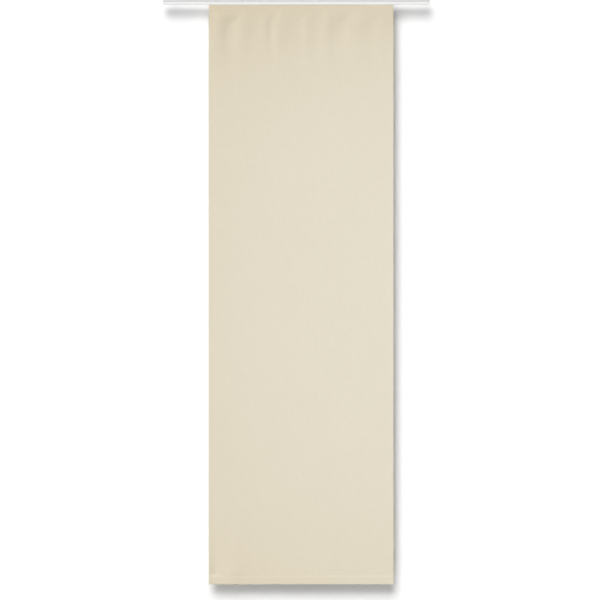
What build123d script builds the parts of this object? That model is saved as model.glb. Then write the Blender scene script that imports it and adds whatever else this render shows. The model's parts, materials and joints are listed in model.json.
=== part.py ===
from build123d import *
import os

# A sliding panel curtain: one flat cloth panel that runs sideways along a slim ceiling track.
# Lengths are in millimetres. X runs along the track, -Y is the room side, +Z is up.
# The origin is on the ceiling, at the middle of the track's length and depth.

# Cloth panel: one sheet with turned side hems, a turned top hem and a pocket along the bottom
panel_width = 600.0
panel_drop = 1881.0
panel_shift = 15.5  # how far the panel hangs to the right of the track's middle
cloth = 0.6
fold_fullness = 0.9  # share of a full round that the side folds have
side_hem_width = 12.0
top_hem_height = 30.0
pocket_height = 34.0
seam_tail = 4.0  # cloth left standing above the pocket's seam

# Flat hollow weight bar in the bottom pocket, closed by a plug at each end
weight_bar_height = 24.0
weight_bar_thickness = 4.0
weight_bar_wall = 0.8
weight_bar_inset = 6.0  # from the cloth's side edge to the plug
pocket_clearance = 0.3
plug_flange = 1.6
plug_tongue = 10.0
plug_clearance = 0.1

# Touch-and-close tape that holds the cloth: hooks on the carriage, loops sewn on the cloth
tape_height = 25.0
hook_tape_thickness = 1.1
loop_tape_thickness = 1.1
tape_drop = 1.2  # from the top of the cloth or carriage to the top of its tape
loop_tape_inset = 3.0  # from the cloth's side edge to the end of the loop tape

# Carriage: an extruded bar with an open groove on top and a flat flange in front
carriage_inset = 3.0  # from the cloth's side edge to the end of the bar and its tape
carriage_wall = 1.2
groove_width = 7.6
groove_height = 2.8
groove_slot = 4.2
flange_height = 28.0
flange_bead = 1.2
carriage_cap_thickness = 1.5
carriage_cap_tongue = 6.0

# Roller trucks: a moulded frame that twists into the groove, an axle and two wheels
truck_count = 4
truck_end_margin = 12.0  # from the cloth's side edge to the middle of the outermost truck
truck_length = 12.0
head_thickness = 4.2
head_over_axle = 2.7
head_corner = 2.2
neck_length = 8.0
neck_thickness = 3.4
collar_width = 6.4
collar_thickness = 0.5
stem_radius = 1.8
foot_length = 3.8
foot_side_gap = 0.5
foot_thickness = 1.8
foot_corner = 1.1
wheel_radius = 3.7
wheel_width = 3.0
wheel_side_gap = 0.4
wheel_recess_depth = 0.6
wheel_rim_wall = 0.8
wheel_bevel = 0.3
axle_radius = 1.0
axle_bevel = 0.25
axle_overhang = 0.4
axle_clearance = 0.05
rolling_gap = 0.05

# Track: an extrusion with a running channel below and a clip channel above
track_length = 866.0  # over both end caps
track_depth = 15.6
track_wall = 1.3
band_height = 6.4  # upper band of each side, down to the waist
band_lean = 1.4  # how far the band leans out from the waist to the ceiling
skirt_flare = 2.4  # how far the sloping skirt leans out below the waist
skirt_foot = 1.0  # upright face below the slope
waist_round = 2.5
lip_thickness = 1.2
clip_channel_height = 2.4
clip_mouth = 10.0
web_thickness = 1.2
head_room = 1.75  # above the wheels
ledge_thickness = 1.7
running_slot = 5.4
corner_round = 0.6
foot_round = 0.3
inner_round = 0.3
track_to_carriage = 0.8
track_to_cloth = 0.3
end_cap_thickness = 2.0
end_cap_bevel = 0.25
end_plug_length = 8.0
end_plug_wall = 1.2
end_plug_clearance = 0.15
stop_rib = 3.0
stop_margin = 0.3  # left between a truck and its stop at the end of the slide

# Ceiling clips: folded spring plates that are screwed up first, and the track clicks over their feet
clip_end_margin = 133.0  # from the end of the track to the screw of its clip
clip_length = 24.0
clip_sheet = 0.8
clip_side_gap = 0.3
clip_foot_reach = 1.3
clip_hole_radius = 1.9
clip_bend = 0.25

# Lengths and places that follow from these sizes
carriage_length = panel_width - 2 * carriage_inset
clip_spacing = track_length - 2 * clip_end_margin

# Levels of the track, from the ceiling down
track_top = -clip_sheet
lip_bottom = track_top - lip_thickness
web_top = lip_bottom - clip_channel_height
web_bottom = web_top - web_thickness
waist_level = track_top - band_height
ledge_top = web_bottom - head_room - 2 * wheel_radius - rolling_gap
track_bottom = ledge_top - ledge_thickness
skirt_bottom = track_bottom + skirt_foot
axle_level = ledge_top + rolling_gap + wheel_radius

# Half widths of the track
track_half = track_depth / 2
channel_half = track_half - track_wall
skirt_half = track_half + skirt_flare

# Levels of the carriage
carriage_top = track_bottom - track_to_carriage
groove_top = carriage_top - carriage_wall
groove_bottom = groove_top - groove_height
carriage_base = groove_bottom - carriage_wall
flange_bottom = carriage_top - flange_height

# Depths from the carriage's front face to the cloth's front face
carriage_half = groove_width / 2 + carriage_wall
carriage_front = -carriage_half
hook_tape_front = carriage_front - hook_tape_thickness
loop_tape_front = hook_tape_front - loop_tape_thickness
fold_plane = loop_tape_front - cloth  # where the front layer meets the turned layer
cloth_front = fold_plane - cloth

# Levels of the cloth
cloth_top = track_bottom - track_to_cloth
cloth_bottom = cloth_top - panel_drop
pocket_seam = cloth_bottom + pocket_height
pocket_half = weight_bar_thickness / 2 + pocket_clearance
weight_bar_base = cloth_bottom + cloth + pocket_clearance
weight_bar_middle = weight_bar_base + weight_bar_height / 2
weight_bar_length = panel_width - 2 * weight_bar_inset - 2 * plug_flange

# Trucks, evenly spaced along the panel
outer_truck = panel_width / 2 - truck_end_margin
truck_places = [
    panel_shift - outer_truck + 2 * outer_truck * n / (truck_count - 1) for n in range(truck_count)
]

# How far the panel can slide each way before an outer truck meets the rib of an end plug
free_half = track_length / 2 - end_cap_thickness - end_plug_length - truck_length / 2 - stop_margin
slide_left = -(free_half - outer_truck) - panel_shift
slide_right = (free_half - outer_truck) - panel_shift


def span(low_y, high_y, low_z, high_z):
    """A rectangle between two depths and two levels."""
    middle = Pos((low_y + high_y) / 2, (low_z + high_z) / 2)
    return middle * Rectangle(high_y - low_y, high_z - low_z)


def both_sides(right_side):
    """A closed face from the corners of its right-hand half, mirrored to the left."""
    left_side = [(-y, z) for y, z in reversed(right_side)]
    return make_face(Polyline(*right_side, *left_side, close=True))


def along_track(section, length, middle=0.0):
    """A section drawn in depth and level, drawn out along the track about one place."""
    return Pos(middle - length / 2, 0, 0) * extrude(Plane.YZ * section, amount=length)


def box_between(low, high):
    """A box from its lowest corner to its highest corner."""
    size = [b - a for a, b in zip(low, high)]
    return Pos(*low) * Box(*size, align=(Align.MIN, Align.MIN, Align.MIN))


def across(radius, low_y, high_y, x, z):
    """A round bar that lies across the track, from one depth to another."""
    bar = Cylinder(radius, high_y - low_y, align=(Align.CENTER, Align.CENTER, Align.MIN))
    return Pos(x, high_y, z) * Rot(90, 0, 0) * bar


def track_outline():
    """Outside of the track: it narrows to a waist, widens in a sloping skirt and ends in an upright foot."""
    face = both_sides([
        (track_half + band_lean, track_top),
        (track_half, waist_level),
        (skirt_half, skirt_bottom),
        (skirt_half, track_bottom),
    ])
    waist = face.vertices().group_by(Axis.Y)[-2]
    face = fillet(waist, waist_round)
    levels = face.vertices().group_by(Axis.Y)
    face = fillet(levels[1] + levels[-1], corner_round)
    return fillet(face.vertices().group_by(Axis.Y)[0], foot_round)


def running_channel():
    """Hollow that the wheels run in. Its walls are parallel to the outside of the track."""
    slope = skirt_flare / (waist_level - skirt_bottom)
    return both_sides([
        (channel_half, web_bottom),
        (channel_half, waist_level),
        (channel_half + slope * (waist_level - ledge_top), ledge_top),
    ])


def track_rail():
    channel = running_channel()
    section = track_outline() - fillet(channel.vertices(), inner_round)
    slot_half = running_slot / 2
    section -= span(-slot_half, slot_half, track_bottom - corner_round, ledge_top + inner_round)
    section -= span(-channel_half, channel_half, web_top, lip_bottom)
    section -= span(-clip_mouth / 2, clip_mouth / 2, lip_bottom - inner_round, track_top + corner_round)
    return along_track(section, track_length - 2 * end_cap_thickness)


def track_end_cap(side):
    """End plate with a hollow plug. The rib inside the plug is what stops the outermost truck."""
    plug_outside = offset(running_channel(), -end_plug_clearance, kind=Kind.INTERSECTION)
    plug_hollow = offset(plug_outside, -end_plug_wall, kind=Kind.INTERSECTION)
    plug_section = plug_outside - plug_hollow
    plug_section += plug_hollow & span(-stop_rib / 2, stop_rib / 2, track_bottom, track_top)
    rail_end = side * (track_length / 2 - end_cap_thickness)
    plate = along_track(track_outline(), end_cap_thickness, rail_end + side * end_cap_thickness / 2)
    outer_face = plate.faces().sort_by(Axis.X)[0 if side < 0 else -1]
    plate = chamfer(outer_face.edges(), end_cap_bevel)
    plug = along_track(plug_section, end_plug_length, rail_end - side * end_plug_length / 2)
    return plate + plug


def ceiling_clip(middle):
    """Hat-shaped spring plate: the crown is screwed to the ceiling, the feet hold the track's lips."""
    crown_half = clip_mouth / 2 - clip_side_gap
    leg_inside = crown_half - clip_sheet
    foot_bottom = lip_bottom - clip_sheet
    foot_tip = crown_half + clip_foot_reach
    section = both_sides([
        (crown_half, 0),
        (crown_half, lip_bottom),
        (foot_tip, lip_bottom),
        (foot_tip, foot_bottom),
        (leg_inside, foot_bottom),
        (leg_inside, -clip_sheet),
    ])
    cut_ends = section.vertices().group_by(Axis.X)
    bends = [corner for corner in section.vertices() if corner not in cut_ends[0] + cut_ends[-1]]
    section = fillet(bends, clip_bend)
    screw_hole = Pos(middle, 0, 0) * Cylinder(clip_hole_radius, 4 * clip_sheet)
    return along_track(section, clip_length, middle) - screw_hole


def carriage_groove():
    """Inside of the groove that the trucks' feet are twisted into."""
    return span(-groove_width / 2, groove_width / 2, groove_bottom, groove_top)


def carriage_profile():
    """Groove on top, flat flange in front with a stiffening bead along its lower edge."""
    section = span(-carriage_half, carriage_half, carriage_base, carriage_top)
    section += span(carriage_front, carriage_front + carriage_wall, flange_bottom, carriage_top)
    bead_middle = Pos(carriage_front + flange_bead, flange_bottom + flange_bead)
    section += bead_middle * Circle(flange_bead)
    section -= carriage_groove()
    section -= span(-groove_slot / 2, groove_slot / 2, groove_top, carriage_top)
    return along_track(section, carriage_length, panel_shift)


def carriage_end_cap(side):
    """Plate over the end of the groove, with a tongue that keeps it there."""
    bar_end = panel_shift + side * carriage_length / 2
    plate_section = span(-carriage_half, carriage_half, carriage_base, carriage_top)
    plate_section = fillet(plate_section.vertices(), corner_round)
    plate_middle = bar_end + side * carriage_cap_thickness / 2
    tongue_section = offset(carriage_groove(), -plug_clearance, kind=Kind.INTERSECTION)
    tongue_middle = bar_end - side * carriage_cap_tongue / 2
    plate = along_track(plate_section, carriage_cap_thickness, plate_middle)
    return plate + along_track(tongue_section, carriage_cap_tongue, tongue_middle)


def hook_tape():
    top = carriage_top - tape_drop
    section = span(hook_tape_front, carriage_front, top - tape_height, top)
    return along_track(section, carriage_length, panel_shift)


def loop_tape():
    top = cloth_top - tape_drop
    section = span(loop_tape_front, hook_tape_front, top - tape_height, top)
    return along_track(section, panel_width - 2 * loop_tape_inset, panel_shift)


def pocket_inside():
    """Hollow of the bottom pocket: round below, straight past the bar, narrowing to the seam."""
    round_middle = cloth_bottom + cloth + pocket_half
    straight_top = weight_bar_base + weight_bar_height
    hollow = make_face(Polyline(
        (fold_plane, pocket_seam),
        (fold_plane + pocket_half, straight_top),
        (fold_plane + pocket_half, round_middle),
        (fold_plane - pocket_half, round_middle),
        (fold_plane - pocket_half, straight_top),
        close=True,
    ))
    return hollow + Pos(fold_plane, round_middle) * Circle(pocket_half)


def fabric_panel():
    """One sheet: rounded fold and turned hem at the top, turned side hems, pocket at the bottom."""
    fold_top = cloth_top - cloth
    back_layer = fold_plane + cloth
    pocket = pocket_inside()
    ends = offset(pocket, cloth, kind=Kind.ARC) - pocket
    ends += Pos(fold_plane, fold_top) * Circle(cloth)
    ends += span(fold_plane, back_layer, cloth_top - top_hem_height, fold_top)
    ends += span(cloth_front, fold_plane, pocket_seam, fold_top)
    ends += span(fold_plane, back_layer, pocket_seam, pocket_seam + seam_tail)
    panel = along_track(ends, panel_width, panel_shift)
    for side in (-1, 1):
        edge = panel_shift + side * panel_width / 2
        inner_edge = edge - side * side_hem_width
        panel += box_between(
            (min(edge, inner_edge), fold_plane, pocket_seam),
            (max(edge, inner_edge), back_layer, fold_top),
        )
        upright_edges = panel.edges().filter_by(Axis.Z).group_by(Axis.X)[0 if side < 0 else -1]
        panel = fillet(upright_edges.filter_by(lambda e: e.length > panel_drop / 2), cloth * fold_fullness)
    return panel


def weight_bar_outline(inward=0.0):
    """Flat oval of the weight bar, or the same oval moved inwards."""
    height = weight_bar_height - 2 * inward
    thickness = weight_bar_thickness - 2 * inward
    oval = SlotOverall(height, thickness, rotation=90)
    return Pos(fold_plane, weight_bar_middle) * oval


def weight_bar():
    section = weight_bar_outline() - weight_bar_outline(weight_bar_wall)
    return along_track(section, weight_bar_length, panel_shift)


def weight_bar_plug(side):
    bar_end = panel_shift + side * weight_bar_length / 2
    tongue_section = weight_bar_outline(weight_bar_wall + plug_clearance)
    flange = along_track(weight_bar_outline(), plug_flange, bar_end + side * plug_flange / 2)
    return flange + along_track(tongue_section, plug_tongue, bar_end - side * plug_tongue / 2)


def truck_frame(middle):
    """Head between the wheels, neck through the track's slot, collar and foot either side of the lips."""
    head_bottom = ledge_top + rolling_gap
    head_top = axle_level + head_over_axle
    head_middle = (head_bottom + head_top) / 2
    head_side = Rectangle(truck_length, head_top - head_bottom)
    head_side = fillet(head_side.vertices().group_by(Axis.Y)[-1], head_corner)
    head = extrude(Plane.XZ * Pos(middle, head_middle) * head_side, amount=head_thickness / 2, both=True)
    collar_top = carriage_top + collar_thickness
    neck = box_between(
        (middle - neck_length / 2, -neck_thickness / 2, collar_top),
        (middle + neck_length / 2, neck_thickness / 2, head_bottom),
    )
    collar = box_between(
        (middle - neck_length / 2, -collar_width / 2, carriage_top),
        (middle + neck_length / 2, collar_width / 2, collar_top),
    )
    foot_width = groove_width - 2 * foot_side_gap
    stem = Pos(middle, 0, groove_top) * Cylinder(
        stem_radius, carriage_wall, align=(Align.CENTER, Align.CENTER, Align.MIN)
    )
    foot = box_between(
        (middle - foot_length / 2, -foot_width / 2, groove_top - foot_thickness),
        (middle + foot_length / 2, foot_width / 2, groove_top),
    )
    foot = fillet(foot.edges().filter_by(Axis.Z), foot_corner)
    frame = head + neck + collar + stem + foot
    axle_hole = across(axle_radius + axle_clearance, -head_thickness, head_thickness, middle, axle_level)
    return frame - axle_hole


def axle(middle):
    reach = head_thickness / 2 + wheel_side_gap + wheel_width + axle_overhang
    pin = across(axle_radius, -reach, reach, middle, axle_level)
    return chamfer(pin.edges().filter_by(GeomType.CIRCLE), axle_bevel)


def wheel(middle, side):
    """Small roller with a bevelled rim and a shallow recess in its outer face."""
    inner_face = side * (head_thickness / 2 + wheel_side_gap)
    outer_face = inner_face + side * wheel_width
    low_y, high_y = sorted((inner_face, outer_face))
    roller = across(wheel_radius, low_y, high_y, middle, axle_level)
    outer_rim = roller.edges().filter_by(GeomType.CIRCLE).sort_by(Axis.Y)[0 if side < 0 else -1]
    roller = chamfer(outer_rim, wheel_bevel)
    recess_low, recess_high = sorted((outer_face - side * wheel_recess_depth, outer_face))
    recess = across(wheel_radius - wheel_rim_wall, recess_low, recess_high, middle, axle_level)
    return roller - recess - across(axle_radius, low_y, high_y, middle, axle_level)


def all_pieces():
    pieces = {
        "track_rail": track_rail(),
        "track_end_cap_left": track_end_cap(-1),
        "track_end_cap_right": track_end_cap(1),
        "ceiling_clip_left": ceiling_clip(-clip_spacing / 2),
        "ceiling_clip_right": ceiling_clip(clip_spacing / 2),
        "carriage_profile": carriage_profile(),
        "carriage_end_cap_left": carriage_end_cap(-1),
        "carriage_end_cap_right": carriage_end_cap(1),
        "hook_tape": hook_tape(),
        "loop_tape": loop_tape(),
        "fabric_panel": fabric_panel(),
        "weight_bar": weight_bar(),
        "weight_bar_plug_left": weight_bar_plug(-1),
        "weight_bar_plug_right": weight_bar_plug(1),
    }
    for number, place in enumerate(truck_places, start=1):
        pieces[f"truck_frame_{number}"] = truck_frame(place)
        pieces[f"axle_{number}"] = axle(place)
        pieces[f"wheel_front_{number}"] = wheel(place, -1)
        pieces[f"wheel_rear_{number}"] = wheel(place, 1)
    return pieces


os.makedirs("parts", exist_ok=True)
for name, piece in all_pieces().items():
    export_step(piece, f"parts/{name}.step")
print(f"The panel slides from {slide_left:.1f} to {slide_right:.1f} mm.")
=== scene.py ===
import json
import math

import bmesh
import bpy
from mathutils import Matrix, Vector, noise


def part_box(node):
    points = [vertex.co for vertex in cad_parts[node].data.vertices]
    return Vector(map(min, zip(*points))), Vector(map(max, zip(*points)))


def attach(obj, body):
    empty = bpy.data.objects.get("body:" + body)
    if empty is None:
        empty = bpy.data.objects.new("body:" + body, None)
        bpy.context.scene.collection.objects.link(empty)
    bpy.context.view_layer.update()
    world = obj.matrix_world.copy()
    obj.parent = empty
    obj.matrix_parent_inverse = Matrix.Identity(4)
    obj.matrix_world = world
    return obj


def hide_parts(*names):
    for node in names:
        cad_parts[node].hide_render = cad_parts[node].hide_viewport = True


# A cloth panel on a slim ceiling track. Everything is in metres: X along the track, -Y to the room.
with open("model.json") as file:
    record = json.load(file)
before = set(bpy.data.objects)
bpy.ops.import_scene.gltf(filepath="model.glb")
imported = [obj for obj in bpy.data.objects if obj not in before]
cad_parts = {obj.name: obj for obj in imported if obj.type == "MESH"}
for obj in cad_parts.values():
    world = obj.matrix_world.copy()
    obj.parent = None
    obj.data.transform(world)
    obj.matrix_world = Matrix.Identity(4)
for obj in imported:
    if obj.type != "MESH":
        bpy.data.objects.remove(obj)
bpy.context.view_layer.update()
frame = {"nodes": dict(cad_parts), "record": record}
bpy.ops.object.select_all(action="DESELECT")

mm = 0.001
hair = 0.01 * mm  # two places nearer than this are one
clothLow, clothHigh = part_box("fabric_panel")
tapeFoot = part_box("loop_tape")[0].z
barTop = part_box("weight_bar")[1].z
foldPlane = (clothLow.y + clothHigh.y) / 2  # between the cloth's front and turned layers
panelMiddle = (clothLow.x + clothHigh.x) / 2


# Small tools for working the meshes

# opens a piece in edit mode with only the vertices that pass the test selected
def editPart(piece, test, kind="VERT"):
    bpy.ops.object.select_all(action="DESELECT")
    bpy.context.view_layer.objects.active = piece
    piece.select_set(True)
    bpy.ops.object.mode_set(mode="EDIT")
    bpy.ops.mesh.select_mode(type="VERT")
    bpy.ops.mesh.select_all(action="DESELECT")
    shape = bmesh.from_edit_mesh(piece.data)
    for vert in shape.verts:
        vert.select = bool(test(vert.co))
    shape.select_flush(True)
    bmesh.update_edit_mesh(piece.data)
    bpy.ops.mesh.select_mode(type=kind)


def leaveEdit():
    bpy.ops.object.mode_set(mode="OBJECT")


def pullOn(steps):  # extrudes what is selected, one step after another
    for step in steps:
        bpy.ops.mesh.extrude_region_move(TRANSFORM_OT_translate={"value": step})


# values that rise or fall through spans of (start, stop, step), each span divided evenly
def spacing(*spans):
    values = []
    for start, stop, step in spans:
        count = max(1, round(abs(stop - start) / step))
        values += [start + (stop - start) * n / count for n in range(count)]
    return values + [spans[-1][1]]


def smooth(value):
    value = min(max(value, 0.0), 1.0)
    return value * value * (3 - 2 * value)


def bell(distance, width):
    return math.exp(-(distance / width) ** 2)


# gives a piece its material and its body, and hides the solids that it stands for
def finishPiece(piece, body, finish, replaced=()):
    piece.data.materials.clear()
    piece.data.materials.append(finish)
    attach(piece, body)
    if replaced:
        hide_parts(*replaced)


# Materials

# a colour as it is seen on screen, from 0 to 255, as the linear values that shaders take
def linear(red, green, blue):
    def one(level):
        level /= 255
        return level / 12.92 if level <= 0.04045 else ((level + 0.055) / 1.055) ** 2.4
    return (one(red), one(green), one(blue), 1.0)


# an empty node group: its inputs are (name, kind, value) and its outputs (name, kind)
def newGroup(name, inputs, outputs):
    tree = bpy.data.node_groups.new(name, "ShaderNodeTree")
    for label, kind, value in inputs:
        socket = tree.interface.new_socket(name=label, in_out="INPUT", socket_type=kind)
        if value is not None:
            socket.default_value = value
    for label, kind in outputs:
        tree.interface.new_socket(name=label, in_out="OUTPUT", socket_type=kind)
    return tree, tree.nodes.new("NodeGroupInput"), tree.nodes.new("NodeGroupOutput")


# links holds (input, value) pairs, where a value that is a socket gets linked
def addNode(tree, kind, links=(), **settings):
    node = tree.nodes.new(kind)
    for label, value in settings.items():
        setattr(node, label, value)
    for label, source in links:
        if isinstance(source, bpy.types.NodeSocket):
            tree.links.new(source, node.inputs[label])
        else:
            node.inputs[label].default_value = source
    return node


def maths(tree, operation, *values):  # one Math node, from sockets or numbers to its result
    node = tree.nodes.new("ShaderNodeMath")
    node.operation = operation
    for index, value in enumerate(values):
        if isinstance(value, bpy.types.NodeSocket):
            tree.links.new(value, node.inputs[index])
        else:
            node.inputs[index].default_value = value
    return node.outputs[0]


def plainNoise(tree, vector, scale, detail):
    grain = addNode(tree, "ShaderNodeTexNoise", [
        ("Vector", vector), ("Scale", scale), ("Detail", detail)])
    return grain.outputs["Fac"]


def stretched(tree, vector, scale, detail, seed):  # noise on a vector scaled axis by axis
    placed = addNode(tree, "ShaderNodeMapping", [
        ("Vector", vector), ("Scale", scale), ("Location", (seed, 0, 0))])
    return plainNoise(tree, placed.outputs[0], 1.0, detail)


# threads one over, one under, with slubs, where a yarn is thicker for a short way. Its tone varies
# with the slubs, and painted shade makes it darker in the dips between threads
def buildPlainWeave():
    tree, given, result = newGroup(
        "Plain weave",
        [("Vector", "NodeSocketVector", None), ("Threads per Metre", "NodeSocketFloat", 2200.0),
         ("Slubs", "NodeSocketFloat", 0.5)],
        [("Height", "NodeSocketFloat"), ("ToneAndPaintedShade", "NodeSocketFloat")])
    axes = addNode(tree, "ShaderNodeSeparateXYZ", [("Vector", given.outputs["Vector"])])
    turns = maths(tree, "MULTIPLY", given.outputs["Threads per Metre"], math.pi)
    acrossTurn = maths(tree, "MULTIPLY", axes.outputs["X"], turns)
    upTurn = maths(tree, "MULTIPLY", axes.outputs["Z"], turns)
    acrossWave = maths(tree, "SINE", acrossTurn)
    upWave = maths(tree, "SINE", upTurn)
    overUnder = maths(tree, "MULTIPLY", maths(tree, "COSINE", acrossTurn),
                      maths(tree, "COSINE", upTurn))
    share = maths(tree, "MULTIPLY_ADD", overUnder, 0.5, 0.5)
    warp = maths(tree, "MULTIPLY", maths(tree, "ABSOLUTE", acrossWave), share)
    weft = maths(tree, "MULTIPLY", maths(tree, "ABSOLUTE", upWave),
                 maths(tree, "SUBTRACT", 1.0, share))
    crossing = maths(tree, "ADD", warp, weft)
    slubWeft = stretched(tree, given.outputs["Vector"], (45.0, 45.0, 1500.0), 2.0, 3.0)
    slubWarp = stretched(tree, given.outputs["Vector"], (1500.0, 45.0, 45.0), 2.0, 11.0)
    slub = maths(tree, "SUBTRACT", maths(tree, "ADD", slubWeft, slubWarp), 1.0)
    slub = maths(tree, "MULTIPLY", slub, given.outputs["Slubs"])
    tree.links.new(maths(tree, "ADD", crossing, slub), result.inputs["Height"])
    # painted shade: the tone is darker where the yarn dips between threads; the slubs vary it at
    # random
    tone = maths(tree, "MULTIPLY_ADD", slub, 0.35, maths(tree, "MULTIPLY_ADD", crossing, 0.12, 0.92))
    tree.links.new(tone, result.inputs["ToneAndPaintedShade"])
    return tree


def buildDrawnLines():  # fine die lines along X on an extruded or drawn part
    tree, given, result = newGroup(
        "Drawn lines",
        [("Vector", "NodeSocketVector", None), ("Lines per Metre", "NodeSocketFloat", 4000.0)],
        [("Height", "NodeSocketFloat"), ("Streaks", "NodeSocketFloat")])
    scale = addNode(tree, "ShaderNodeCombineXYZ", [
        ("X", maths(tree, "MULTIPLY", given.outputs["Lines per Metre"], 0.002)),
        ("Y", given.outputs["Lines per Metre"]), ("Z", given.outputs["Lines per Metre"])])
    placed = addNode(tree, "ShaderNodeMapping", [
        ("Vector", given.outputs["Vector"]), ("Scale", scale.outputs[0])])
    tree.links.new(plainNoise(tree, placed.outputs[0], 1.0, 3.0), result.inputs["Height"])
    tree.links.new(plainNoise(tree, placed.outputs[0], 0.22, 1.0), result.inputs["Streaks"])
    return tree


# even small grain, as on powder coat and moulded plastic, with a slow drift in tone
def buildFineGrain():
    tree, given, result = newGroup(
        "Fine grain",
        [("Vector", "NodeSocketVector", None), ("Grain Scale", "NodeSocketFloat", 900.0),
         ("Drift Scale", "NodeSocketFloat", 6.0)],
        [("Height", "NodeSocketFloat"), ("Drift", "NodeSocketFloat")])
    for scale, label in (("Grain Scale", "Height"), ("Drift Scale", "Drift")):
        found = plainNoise(tree, given.outputs["Vector"], given.outputs[scale], 2.0)
        tree.links.new(found, result.inputs[label])
    return tree


# one Principled shader, and object coordinates to drive it
def newMaterial(name, roughness, metallic=0.0, specular=0.5):
    made = bpy.data.materials.new(name)
    made.use_nodes = True
    tree = made.node_tree
    shader = tree.nodes["Principled BSDF"]
    shader.inputs["Roughness"].default_value = roughness
    shader.inputs["Metallic"].default_value = metallic
    shader.inputs["Specular IOR Level"].default_value = specular
    place = tree.nodes.new("ShaderNodeTexCoord").outputs["Object"]
    return made, tree, shader, place


def tintBetween(tree, shader, amount, first, second):  # Base Color from one colour to another
    mixed = addNode(tree, "ShaderNodeMix", data_type="RGBA")
    tree.links.new(amount, mixed.inputs["Factor"])
    mixed.inputs["A"].default_value = first
    mixed.inputs["B"].default_value = second
    tree.links.new(mixed.outputs["Result"], shader.inputs["Base Color"])
    return mixed


def addBump(tree, shader, height, strength, depth):
    bump = addNode(tree, "ShaderNodeBump", [
        ("Strength", strength), ("Distance", depth), ("Height", height)])
    tree.links.new(bump.outputs["Normal"], shader.inputs["Normal"])


groups = {"weave": buildPlainWeave(), "lines": buildDrawnLines(), "grain": buildFineGrain()}


def useGroup(tree, name, place, **values):
    node = tree.nodes.new("ShaderNodeGroup")
    node.node_tree = groups[name]
    tree.links.new(place, node.inputs["Vector"])
    for label, value in values.items():
        node.inputs[label.replace("_", " ")].default_value = value
    return node


clothLook = {
    "colour": linear(221, 214, 196),
    "paintedShade": linear(209, 197, 173),  # painted shade: deeper and warmer, towards the top, bottom and left edge
    "threads": 1900.0,  # per metre
    "slubs": 0.3,
    "roughness": 0.88,
    "specular": 0.18,
    "bump": (0.35, 0.12 * mm),  # strength and depth
    "drift": 0.16,  # slow change of tone over the cloth
    "sheen": (0.06, 0.45, linear(250, 244, 230)),  # weight, roughness and tint
    "paintedShadeFades": {  # how much painted shade, and how far in from that edge
        "Top": (0.80, 0.205),
        "Bottom": (0.45, 0.30),
        "Left": (0.30, 0.30),
    },
}


def makeClothMaterial():  # plain weave, with painted shade that makes it darker and warmer towards its top, bottom and left edge
    made, tree, shader, place = newMaterial(
        "Panel cloth", clothLook["roughness"], specular=clothLook["specular"])
    weave = useGroup(tree, "weave", place,
                     Threads_per_Metre=clothLook["threads"], Slubs=clothLook["slubs"])
    grain = useGroup(tree, "grain", place, Grain_Scale=70.0, Drift_Scale=2.2)
    axes = addNode(tree, "ShaderNodeSeparateXYZ", [("Vector", place)])
    reaches = {"Top": maths(tree, "SUBTRACT", clothHigh.z, axes.outputs["Z"]),
               "Bottom": maths(tree, "SUBTRACT", axes.outputs["Z"], clothLow.z),
               "Left": maths(tree, "SUBTRACT", axes.outputs["X"], clothLow.x)}
    drift = clothLook["drift"]
    amount = maths(tree, "MULTIPLY_ADD", grain.outputs["Drift"], drift, -drift / 2)
    # painted shade near the top, bottom and left edge, added to the random drift in tone
    for label, (strength, fade) in clothLook["paintedShadeFades"].items():
        paintedShadeNearEdge = maths(tree, "EXPONENT", maths(tree, "DIVIDE", reaches[label], -fade))
        amount = maths(tree, "MULTIPLY_ADD", paintedShadeNearEdge, strength, amount)
    amount.node.use_clamp = True
    mixed = tintBetween(tree, shader, amount, clothLook["colour"], clothLook["paintedShade"])
    toned = addNode(tree, "ShaderNodeVectorMath", operation="SCALE")
    tree.links.new(mixed.outputs["Result"], toned.inputs[0])
    tree.links.new(weave.outputs["ToneAndPaintedShade"], toned.inputs["Scale"])
    tree.links.new(toned.outputs[0], shader.inputs["Base Color"])
    addBump(tree, shader, weave.outputs["Height"], *clothLook["bump"])
    for label, value in zip(("Weight", "Roughness", "Tint"), clothLook["sheen"]):
        shader.inputs[f"Sheen {label}"].default_value = value
    return made


def makeThreadMaterial():  # sewing thread, a touch lighter and shinier than the cloth
    made, tree, shader, place = newMaterial("Sewing thread", 0.55, specular=0.3)
    grain = useGroup(tree, "grain", place, Grain_Scale=2600.0, Drift_Scale=40.0)
    tintBetween(tree, shader, grain.outputs["Drift"], linear(224, 214, 193), linear(233, 226, 209))
    addBump(tree, shader, grain.outputs["Height"], 0.3, 0.06 * mm)
    return made


# powder coat over an extrusion: fine orange peel, with the die lines just showing
def makeCoatMaterial(name, first, second, roughness):
    made, tree, shader, place = newMaterial(name, roughness, specular=0.42)
    grain = useGroup(tree, "grain", place, Grain_Scale=1100.0, Drift_Scale=3.0)
    lines = useGroup(tree, "lines", place, Lines_per_Metre=2600.0)
    tintBetween(tree, shader, grain.outputs["Drift"], first, second)
    height = maths(tree, "MULTIPLY_ADD", lines.outputs["Height"], 0.35, grain.outputs["Height"])
    addBump(tree, shader, height, 0.12, 0.12 * mm)
    rough = maths(tree, "MULTIPLY_ADD", grain.outputs["Drift"], 0.12, roughness - 0.06)
    tree.links.new(rough, shader.inputs["Roughness"])
    return made


def makePlasticMaterial(name, first, second, roughness, grainScale):  # moulded, finely grained
    made, tree, shader, place = newMaterial(name, roughness, specular=0.45)
    grain = useGroup(tree, "grain", place, Grain_Scale=grainScale, Drift_Scale=25.0)
    tintBetween(tree, shader, grain.outputs["Drift"], first, second)
    addBump(tree, shader, grain.outputs["Height"], 0.18, 0.08 * mm)
    return made


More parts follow.
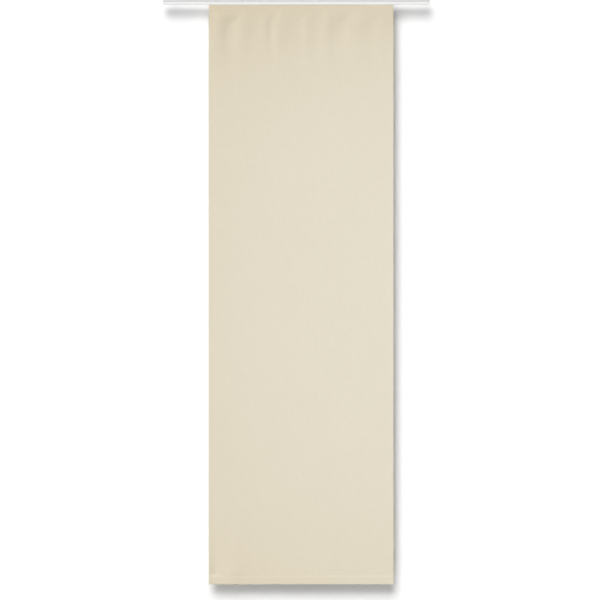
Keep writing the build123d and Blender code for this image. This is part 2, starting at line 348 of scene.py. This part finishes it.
def makeMetalMaterial(name, first, second, roughness, lineScale):  # bare metal, streaked along X
    made, tree, shader, place = newMaterial(name, roughness, metallic=1.0)
    lines = useGroup(tree, "lines", place, Lines_per_Metre=lineScale)
    tintBetween(tree, shader, lines.outputs["Streaks"], first, second)
    addBump(tree, shader, lines.outputs["Height"], 0.15, 0.06 * mm)
    rough = maths(tree, "MULTIPLY_ADD", lines.outputs["Streaks"], 0.2, roughness - 0.1)
    tree.links.new(rough, shader.inputs["Roughness"])
    return made


finishes = {
    "panel_cloth": makeClothMaterial(),
    "thread": makeThreadMaterial(),
    "track_coat": makeCoatMaterial(
        "Track powder coat", linear(207, 207, 207), linear(211, 211, 210), 0.48),
    "carriage_coat": makeCoatMaterial(
        "Carriage powder coat", linear(206, 206, 205), linear(210, 210, 209), 0.5),
    "cap_plastic": makePlasticMaterial(
        "Moulded caps", linear(207, 207, 206), linear(211, 211, 210), 0.5, 1500.0),
    "truck_plastic": makePlasticMaterial(
        "Truck acetal", linear(214, 214, 210), linear(220, 220, 216), 0.36, 2200.0),
    "wheel_plastic": makePlasticMaterial(
        "Wheel nylon", linear(204, 204, 199), linear(211, 211, 206), 0.4, 1800.0),
    "axle_steel": makeMetalMaterial(
        "Drawn axle wire", linear(166, 166, 168), linear(186, 186, 188), 0.3, 9000.0),
    "clip_steel": makeMetalMaterial(
        "Zinc-plated spring", linear(176, 179, 184), linear(196, 198, 201), 0.36, 1500.0),
    "bar_aluminium": makeMetalMaterial(
        "Mill aluminium", linear(190, 191, 192), linear(206, 207, 208), 0.38, 3000.0),
    "hook_tape": makePlasticMaterial(
        "Hook nylon", linear(226, 226, 223), linear(232, 232, 229), 0.5, 3000.0),
    "loop_tape": makePlasticMaterial(
        "Loop pile", linear(228, 228, 223), linear(236, 236, 231), 0.8, 3500.0),
}
print("materials made:", len(finishes))

# Each solid that stays takes the finish of its slot
for part in frame["record"]["subparts"]:
    solid = frame["nodes"][part["node"]]
    solid.data.materials.clear()
    solid.data.materials.append(finishes[part["material_slot"]])

# The cloth: one sheet with its hems and pocket
cloth = {
    "thickness": 0.54 * mm,
    "layers": 0.60 * mm,  # between the middles of two layers that lie together
    "sideHem": 12 * mm,
    "topHem": 30 * mm,
    "pocket": 34 * mm,
    "seamTail": 4 * mm,
    "gap": 0.6 * mm,  # between the end of a side hem and the turned top or pocket
    "taped": (24 * mm, 4 * mm),  # how far down the turned top lies flat, and where that ends
    "pocketStart": 3 * mm,  # how far under the bar's top the pocket starts to close
    "footSquare": 8,  # 2 would leave the pocket's foot round
    "foldSteps": 6,
    "pocketSteps": 12,
}
layerOut = cloth["layers"] / 2
foldReach = layerOut + cloth["thickness"] / 2  # how far a fold stands past its own centre line
pocketOut = (clothHigh.y - clothLow.y) / 2 - cloth["thickness"] / 2
foldTop = clothHigh.z - foldReach
pocketMiddle = clothLow.z + pocketOut + cloth["thickness"] / 2
pocketSeam = clothLow.z + cloth["pocket"]
sideLeft = clothLow.x + foldReach
sideRight = clothHigh.x - foldReach

# Where the sewn top and the pocket's seam make the cloth ripple. Each wave is a place from the
# cloth's left edge, a half width and a height in millimetres, where a height below 0 is a valley.
ripples = {
    "topWaves": [(31, 24, 5.3), (72, 20, -3.1), (112, 23, 4.0), (206, 16, -7.2), (216, 43, 5.8),
                 (318, 16, 3.0), (384, 19, 4.1), (433, 19, -1.4), (482, 34, 3.9), (538, 22, -1.9),
                 (557, 34, 2.6)],
    "middle": 1.6 * mm,  # mean height of the top's waves
    "start": 10 * mm,  # where they start below the top of the cloth
    "full": 56 * mm,  # where they reach their height
    "hold": 84 * mm,  # and where they start to fade
    "behindTape": 34 * mm,  # how far under the tape a valley takes to reach its depth
    "fade": 60 * mm,
    "overTape": 1.2 * mm,  # how far the folded top puffs out in front of the tape
    "overTapeFade": 60 * mm,  # how far down the puff dies away
    "pinned": 8 * mm,  # from the sides in, where it lies flat
    "seamWaves": [(21, 16, -4.6), (76, 34, 5.2), (265, 25, 1.1), (350, 18, 0.9),
                  (470, 34, 0.8)],
    "seamFade": 60 * mm,
    "barTakes": 0.25,  # how much of a bulge above it the bar's flat face takes away
    "drift": 3 * mm,  # how far a ripple wanders sideways
    "driftPace": 9,
    "sway": 0.5 * mm,  # slow, wide bend of the hanging cloth
    "swayPace": (4.2, 1.1),  # across and down
    "swayIn": (0.25, 0.15),  # how far from the top and from the pocket it takes to grow
    "hemStep": 0.22 * mm,  # how far a turned hem pushes the face out
    "hemSlope": 3 * mm,
    "hemStepFoot": 20 * mm,  # how far above the pocket it takes to grow
    "seamPull": 0.16 * mm,  # how deep a line of stitches pulls in
    "pullWidths": {"side": 1.3 * mm, "top": 1.5 * mm, "pocket": 1.4 * mm},
    "topPull": 0.7,  # the top's lines pull less
    "pocketLean": 1.2 * mm,  # how far the seam above the bar stands forward
    "leanHeight": 90 * mm,
}
seamLines = {
    "side": 10.4 * mm,  # from the cloth's edge
    "topUpper": 3.8 * mm,  # from the top of the cloth
    "topLower": 23.8 * mm,
    "topHem": 28.2 * mm,
    "pocket": 33.4 * mm,  # from the bottom of the cloth
}


def waves(listed, along):
    return mm * sum(height * bell(along / mm - place, width) for place, width, height in listed)


def overHem(distance, hem):  # 1 where a hem is turned behind the face, and 0 past its end
    return 1 - smooth((distance - hem + ripples["hemSlope"] / 2) / ripples["hemSlope"])


def clothRelief(x, z):  # how far the cloth stands out towards the room, past its flat form
    depth, fromBottom = clothHigh.z - z, z - clothLow.z
    along, fromSide = x - clothLow.x, min(x - clothLow.x, clothHigh.x - x)
    strength = smooth((depth - ripples["start"]) / (ripples["full"] - ripples["start"]))
    strength *= math.exp(-max(0.0, depth - ripples["hold"]) / ripples["fade"])
    pace = ripples["driftPace"]
    drift = ripples["drift"] * noise.noise(Vector((along * pace, depth * pace, 0.3)))
    rise = strength * (waves(ripples["topWaves"], along + drift) - ripples["middle"])
    if rise < 0:
        rise *= smooth((tapeFoot - z) / ripples["behindTape"])
    puff = smooth(fromSide / ripples["pinned"]) * bell(depth, ripples["overTapeFade"])
    rise += ripples["overTape"] * puff
    pucker = waves(ripples["seamWaves"], along + drift)
    pucker *= math.exp(-max(0.0, z - pocketSeam) / ripples["seamFade"])
    overBar = 1 - smooth((z - barTop) / (pocketSeam - barTop))
    rise += pucker * (1 - overBar * (ripples["barTakes"] if pucker > 0 else 1.0))
    (acrossPace, downPace), (topIn, pocketIn) = ripples["swayPace"], ripples["swayIn"]
    slow = noise.noise(Vector((x * acrossPace, z * downPace, 1.7)))
    abovePocket = fromBottom - cloth["pocket"]
    rise += ripples["sway"] * slow * smooth(depth / topIn) * smooth(abovePocket / pocketIn)
    turned = max(overHem(fromSide, cloth["sideHem"]), overHem(depth, cloth["topHem"]))
    rise += ripples["hemStep"] * turned * smooth(abovePocket / ripples["hemStepFoot"])
    widths = ripples["pullWidths"]
    pull = bell(fromSide - seamLines["side"], widths["side"])
    for line in ("topUpper", "topLower", "topHem"):
        pull += ripples["topPull"] * bell(depth - seamLines[line], widths["top"])
    pull += bell(fromBottom - seamLines["pocket"], widths["pocket"])
    return rise - ripples["seamPull"] * min(pull, 1.0)


def seamLean(z):  # the cloth comes forward to the pocket, so the seam lies over the bar's face
    below = smooth((pocketSeam - z) / (pocketSeam - barTop))
    above = smooth((pocketSeam + ripples["leanHeight"] - z) / ripples["leanHeight"])
    return ripples["pocketLean"] * above * (1 - below)


# how far one layer moves forward: the turned layers at the tape and behind the bar stay flat
def layerShift(x, z, behind):
    shift = clothRelief(x, z) + seamLean(z)
    if behind:
        reach, end = cloth["taped"]
        shift *= smooth((clothHigh.z - z - reach) / end)
        shift *= smooth((z - barTop) / (pocketSeam - barTop))
    return shift


def pocketReach(z):  # half the pocket's depth: full beside the bar, closing to the seam above it
    if z >= pocketSeam:
        return layerOut
    start = barTop - cloth["pocketStart"]
    share = smooth((z - start) / (pocketSeam - start))
    return pocketOut + (layerOut - pocketOut) * share


# Where the sheet's rows and columns are close together, and how far apart they are
net = {
    "nearSide": 14 * mm,
    "aboveSeam": 8 * mm,
    "nearFoot": 90 * mm,
    "rippled": 320 * mm,  # from the top
    "nearTop": 45 * mm,
    "column": 4.6 * mm,
    "sideColumn": 1.3 * mm,
    "row": 15 * mm,
    "rippledRow": 6 * mm,
    "footRow": 1.6 * mm,
    "topRow": 1.7 * mm,
    "backRow": 1.8 * mm,  # on the pocket's back
    "tailRow": 2 * mm,
    "topHemRow": 1.9 * mm,
    "sideHemColumn": 1.4 * mm,
}


def buildCloth():
    insideLeft, insideRight = sideLeft + net["nearSide"], sideRight - net["nearSide"]
    columns = spacing((sideLeft, insideLeft, net["sideColumn"]),
                      (insideLeft, insideRight, net["column"]),
                      (insideRight, sideRight, net["sideColumn"]))
    levels = (pocketMiddle, pocketSeam + net["aboveSeam"], clothLow.z + net["nearFoot"],
              clothHigh.z - net["rippled"], clothHigh.z - net["nearTop"], foldTop)
    steps = [net[label] for label in ("footRow", "rippledRow", "row", "rippledRow", "topRow")]
    rows = spacing(*zip(levels, levels[1:], steps))
    across, up = len(columns) - 1, len(rows) - 1
    bpy.ops.mesh.primitive_grid_add(x_subdivisions=across, y_subdivisions=up, size=1,
                                    rotation=(math.pi / 2, 0, 0))
    sheet = bpy.context.object
    sheet.name = "cloth_panel"
    bpy.ops.object.transform_apply(location=True, rotation=True, scale=True)
    for vert in sheet.data.vertices:
        column = round((vert.co.x + 0.5) * across)
        x, z = columns[column], rows[round((vert.co.z + 0.5) * up)]
        if z < pocketSeam + cloth["seamTail"] and column in (0, across):
            x += foldReach if column else -foldReach  # the pocket is as wide as the hemmed panel
        vert.co = (x, foldPlane - pocketReach(z), z)

    # bottom of the pocket, then its back up to the seam and the tail above it
    editPart(sheet, lambda co: co.z < pocketMiddle + hair, "EDGE")
    bpy.ops.mesh.spin(steps=cloth["pocketSteps"], angle=math.pi,
                      center=(0, foldPlane, pocketMiddle), axis=(-1, 0, 0))
    levels = spacing((pocketMiddle, pocketSeam, net["backRow"]),
                     (pocketSeam, pocketSeam + cloth["seamTail"], net["tailRow"]))
    pullOn([(0, pocketReach(high) - pocketReach(low), high - low)
            for low, high in zip(levels, levels[1:])])
    leaveEdit()
    for vert in sheet.data.vertices:  # the flat bar inside squares the round foot
        if vert.co.z < pocketMiddle - hair:
            out, down = (vert.co.y - foldPlane) / pocketOut, (pocketMiddle - vert.co.z) / pocketOut
            power = cloth["footSquare"]
            square = (abs(out) ** power + down ** power) ** (1 / power)
            vert.co.y = foldPlane + out / square * pocketOut
            vert.co.z = pocketMiddle - down / square * pocketOut

    # fold at the top, then the turned hem behind
    editPart(sheet, lambda co: co.z > foldTop - hair, "EDGE")
    bpy.ops.mesh.spin(steps=cloth["foldSteps"], angle=math.pi,
                      center=(0, foldPlane, foldTop), axis=(1, 0, 0))
    levels = spacing((0, cloth["topHem"], net["topHemRow"]))
    pullOn([(0, 0, low - high) for low, high in zip(levels, levels[1:])])
    leaveEdit()

    # side hems, turned to the back between the top hem and the pocket's seam
    hemTop = clothHigh.z - cloth["topHem"] - cloth["gap"]
    hemFoot = pocketSeam + cloth["seamTail"] + cloth["gap"]
    for side, edge in ((-1, sideLeft), (1, sideRight)):
        editPart(sheet, lambda co: abs(co.x - edge) < hair and hemFoot < co.z < hemTop
                 and co.y < foldPlane, "EDGE")
        bpy.ops.mesh.spin(steps=cloth["foldSteps"], angle=math.pi,
                          center=(edge, foldPlane, 0), axis=(0, 0, -side))
        levels = spacing((0, cloth["sideHem"] - foldReach, net["sideHemColumn"]))
        pullOn([(-side * (high - low), 0, 0) for low, high in zip(levels, levels[1:])])
        leaveEdit()

    editPart(sheet, lambda co: True)
    bpy.ops.mesh.remove_doubles(threshold=hair)
    bpy.ops.mesh.normals_make_consistent(inside=False)
    leaveEdit()
    for vert in sheet.data.vertices:
        vert.co.y -= layerShift(vert.co.x, vert.co.z, vert.co.y > foldPlane + hair)
    thick = sheet.modifiers.new("Cloth thickness", "SOLIDIFY")
    thick.thickness = cloth["thickness"]
    thick.offset = 0
    bpy.ops.object.modifier_apply(modifier=thick.name)
    bpy.ops.object.shade_smooth_by_angle(angle=math.radians(50))
    return sheet


panel = buildCloth()
finishPiece(panel, "panel", finishes["panel_cloth"], ["fabric_panel"])
print("cloth panel:", len(panel.data.polygons), "faces")

# Stitches: one is modelled, and an array lays each line
stitch = {
    "length": 2.7 * mm,
    "pitch": 3.5 * mm,
    "radius": 0.24 * mm,
    "sunk": 0.10 * mm,  # how deep its middle lies under the cloth's surface
    "dip": 1.1,  # how many radii its ends go down into the cloth
    "taper": 0.45,
    "sides": 5,
}


# a line from one (x, z) place to another, on the cloth's front (-1) or back (1)
def layStitches(name, start, end, face):
    (x0, z0), (x1, z1) = start, end
    length = math.hypot(x1 - x0, z1 - z0)
    upright = abs(z1 - z0) > abs(x1 - x0)
    turned = (0, 0, 0) if upright else (0, math.pi / 2, 0)
    bpy.ops.object.select_all(action="DESELECT")
    bpy.ops.mesh.primitive_cylinder_add(vertices=stitch["sides"], radius=stitch["radius"],
                                        depth=stitch["length"], end_fill_type="TRIFAN",
                                        rotation=turned)
    line = bpy.context.object
    line.name = name
    bpy.ops.object.transform_apply(location=True, rotation=True, scale=True)
    shape = bmesh.new()
    shape.from_mesh(line.data)
    longEdges = [edge for edge in shape.edges if edge.calc_length() > stitch["length"] - hair]
    bmesh.ops.subdivide_edges(shape, edges=longEdges, cuts=2)
    shape.to_mesh(line.data)
    shape.free()
    half = stitch["length"] / 2
    for vert in line.data.vertices:
        away = abs(vert.co.z if upright else vert.co.x) / half
        dip = stitch["radius"] * stitch["dip"] * away ** 4
        vert.co.y = vert.co.y * (1 - stitch["taper"] * away ** 4) - face * dip
    repeat = line.modifiers.new("Line of stitches", "ARRAY")
    repeat.count = max(1, int(length / stitch["pitch"]))
    repeat.use_relative_offset = False
    repeat.use_constant_offset = True
    step = stitch["pitch"]
    down = (0, 0, math.copysign(step, z1 - z0))
    repeat.constant_offset_displace = down if upright else (step, 0, 0)
    bpy.ops.object.modifier_apply(modifier=repeat.name)
    for vert in line.data.vertices:
        x, z = vert.co.x + x0, vert.co.z + z0
        surface = foldPlane + face * (pocketReach(z) + cloth["thickness"] / 2 - stitch["sunk"])
        vert.co = (x, vert.co.y + surface - layerShift(x, z, face > 0), z)
    return line


# Where the lines of stitches end
ends = {
    "left": 5 * mm,  # in from the cloth's sides
    "right": 3 * mm,
    "sideTop": 4 * mm,  # down from the top of the cloth
    "sideFoot": 2 * mm,  # up from the pocket
    "underHem": 3 * mm,  # on the back, down from the turned top
    "overSeam": 0.8 * mm,  # the pocket's own line, above its seam
}


def sewPanel():
    firstX, lastX = clothLow.x + ends["left"], clothHigh.x - ends["right"]
    sideTop, sideFoot = clothHigh.z - ends["sideTop"], pocketSeam + ends["sideFoot"]
    sideLines = {"left": clothLow.x + seamLines["side"], "right": clothHigh.x - seamLines["side"]}
    lines = []
    for side, x in sideLines.items():
        for label, face in (("front", -1), ("back", 1)):
            foot = sideFoot if face < 0 else sideFoot + cloth["seamTail"]
            top = sideTop if face < 0 else clothHigh.z - cloth["topHem"] - ends["underHem"]
            lines.append(layStitches(f"stitches_{side}_{label}", (x, top), (x, foot), face))
    for label in ("topUpper", "topLower", "topHem"):
        level = clothHigh.z - seamLines[label]
        lines.append(layStitches(f"stitches_{label}_front", (firstX, level), (lastX, level), -1))
    level = clothHigh.z - seamLines["topHem"]
    lines.append(layStitches("stitches_topHem_back", (firstX, level), (lastX, level), 1))
    level = pocketSeam + ends["overSeam"]
    for label, face in (("front", -1), ("back", 1)):
        lines.append(layStitches(f"stitches_pocket_{label}", (firstX, level), (lastX, level), face))
    bpy.ops.object.select_all(action="DESELECT")
    for line in lines:
        line.select_set(True)
    bpy.context.view_layer.objects.active = lines[0]
    bpy.ops.object.join()
    sewn = bpy.context.object
    sewn.name = "panel_stitches"
    bpy.ops.object.shade_smooth()
    return sewn


stitches = sewPanel()
finishPiece(stitches, "panel", finishes["thread"])
print("stitches:", len(stitches.data.polygons), "faces")

# Room: a white wall close behind the panel, and a pale floor
room = {
    "wallGap": 56 * mm,  # from the cloth's front to the wall
    "wallWidth": 9.0,
    "wallHeight": 6.0,
    "wallMiddle": -0.9,
    "floorLevel": -2.45,
    "wallWhite": 0.97,
    "floorWhite": 0.12,
    "floorGlow": 0.86,  # light of its own that only the camera and mirrors see
}


def seenDirectly(tree):  # 1 for a ray from the camera, a mirror or glass, and 0 for any other
    rays = tree.nodes.new("ShaderNodeLightPath")
    either = maths(tree, "MAXIMUM", rays.outputs["Is Camera Ray"], rays.outputs["Is Glossy Ray"])
    return maths(tree, "MAXIMUM", either, rays.outputs["Is Transmission Ray"])


def makeRoomMaterial(name, white, glow=0.0):  # it can be seen through from behind
    made = bpy.data.materials.new(name)
    made.use_nodes = True
    tree = made.node_tree
    tree.nodes.clear()
    paint = addNode(tree, "ShaderNodeBsdfDiffuse", [("Color", (white, white, white, 1))])
    strength = maths(tree, "MULTIPLY", seenDirectly(tree), glow)
    light = addNode(tree, "ShaderNodeEmission", [("Color", (1, 1, 1, 1)), ("Strength", strength)])
    both = tree.nodes.new("ShaderNodeAddShader")
    tree.links.new(paint.outputs[0], both.inputs[0])
    tree.links.new(light.outputs[0], both.inputs[1])
    side = tree.nodes.new("ShaderNodeNewGeometry").outputs["Backfacing"]
    clear = tree.nodes.new("ShaderNodeBsdfTransparent")
    chosen = tree.nodes.new("ShaderNodeMixShader")
    tree.links.new(side, chosen.inputs[0])
    tree.links.new(both.outputs[0], chosen.inputs[1])
    tree.links.new(clear.outputs[0], chosen.inputs[2])
    result = tree.nodes.new("ShaderNodeOutputMaterial")
    tree.links.new(chosen.outputs[0], result.inputs["Surface"])
    return made


def buildRoom():
    wallPlace = foldPlane - layerOut + room["wallGap"]
    bpy.ops.object.select_all(action="DESELECT")
    bpy.ops.mesh.primitive_plane_add(size=1, location=(panelMiddle, wallPlace, room["wallMiddle"]),
                                     rotation=(math.pi / 2, 0, 0))
    wall = bpy.context.object
    wall.name = "room_wall"
    wall.scale = (room["wallWidth"], room["wallHeight"], 1)
    wall.data.materials.append(makeRoomMaterial("Wall paint", room["wallWhite"]))
    bpy.ops.mesh.primitive_plane_add(size=1, location=(panelMiddle, wallPlace, room["floorLevel"]))
    floor = bpy.context.object
    floor.name = "room_floor"
    floor.scale = (room["wallWidth"], room["wallWidth"], 1)
    floor.data.materials.append(makeRoomMaterial("Pale floor", room["floorWhite"], room["floorGlow"]))
    for surface in (wall, floor):
        bpy.context.view_layer.objects.active = surface
        surface.select_set(True)
        bpy.ops.object.transform_apply(location=True, rotation=True, scale=True)
        surface.select_set(False)
    floor.visible_shadow = floor.visible_diffuse = False  # light from below passes it
    wall.visible_shadow = False  # and light from behind passes the wall


buildRoom()
print("room built")

# Lights: a broad key from the upper left that casts the shadow, a wide front light that the room
# throws back from a little below, a plain one for the panel's back, and the sky. Each lamp is the way
# that its light travels, how wide it is and how strong.
lights = {
    "key": ((10.3, 56.0, -39.2), math.radians(37), 2.84),
    "front": ((15.0, 56.0, 18.5), math.radians(68), 1.21),
    "back": ((-12.0, -56.0, -16.0), math.radians(80), 1.5),
    "sky": 0.01,
}


def addLights():
    for name in ("key", "front", "back"):
        towards, width, strength = lights[name]
        bpy.ops.object.light_add(type="SUN")
        lamp = bpy.context.object
        lamp.name = f"{name}_light"
        lamp.rotation_euler = Vector(towards).to_track_quat("-Z", "Y").to_euler()
        lamp.data.energy = strength
        lamp.data.angle = width
        if name == "back":  # it lights nothing by bounces, so the wall keeps its shadow
            lamp.data.cycles.max_bounces = 0
            lamp.data.cycles.use_multiple_importance_sampling = False
    sky = bpy.data.worlds.new("Studio")
    sky.use_nodes = True
    tree = sky.node_tree
    tree.nodes.clear()
    seen = seenDirectly(tree)
    strength = maths(tree, "MULTIPLY_ADD", seen, 1.0 - lights["sky"], lights["sky"])
    glow = addNode(tree, "ShaderNodeBackground", [("Color", (1, 1, 1, 1)), ("Strength", strength)])
    result = tree.nodes.new("ShaderNodeOutputWorld")
    tree.links.new(glow.outputs[0], result.inputs["Surface"])
    bpy.context.scene.world = sky


addLights()

# Camera: level and straight on, with the panel's edges where the photograph has them
view = {
    "imageWidth": 600,
    "panelLeft": 208.7,  # the cloth's edges in the photograph, in pixels
    "panelRight": 393.55,
    "panelTop": 4.9,
    "distance": 30.0,  # far off, so the track's underside and the panel's sides stay out of sight
    "sensor": 36.0,
    "farthest": 90,
}


def addCamera():
    perPixel = (clothHigh.x - clothLow.x) / (view["panelRight"] - view["panelLeft"])
    middle = view["imageWidth"] / 2
    x = clothLow.x + (middle - view["panelLeft"]) * perPixel
    z = clothHigh.z - (middle - view["panelTop"]) * perPixel
    front = foldPlane - layerOut
    bpy.ops.object.camera_add(location=(x, front - view["distance"], z),
                              rotation=(math.pi / 2, 0, 0))
    camera = bpy.context.object
    camera.name = "photo_camera"
    camera.data.sensor_width = view["sensor"]
    camera.data.lens = view["sensor"] * view["distance"] / (perPixel * view["imageWidth"])
    camera.data.clip_end = view["farthest"]
    bpy.context.scene.camera = camera


addCamera()
bpy.context.scene.view_settings.view_transform = "Standard"
bpy.ops.object.select_all(action="DESELECT")
print("lights and camera set")
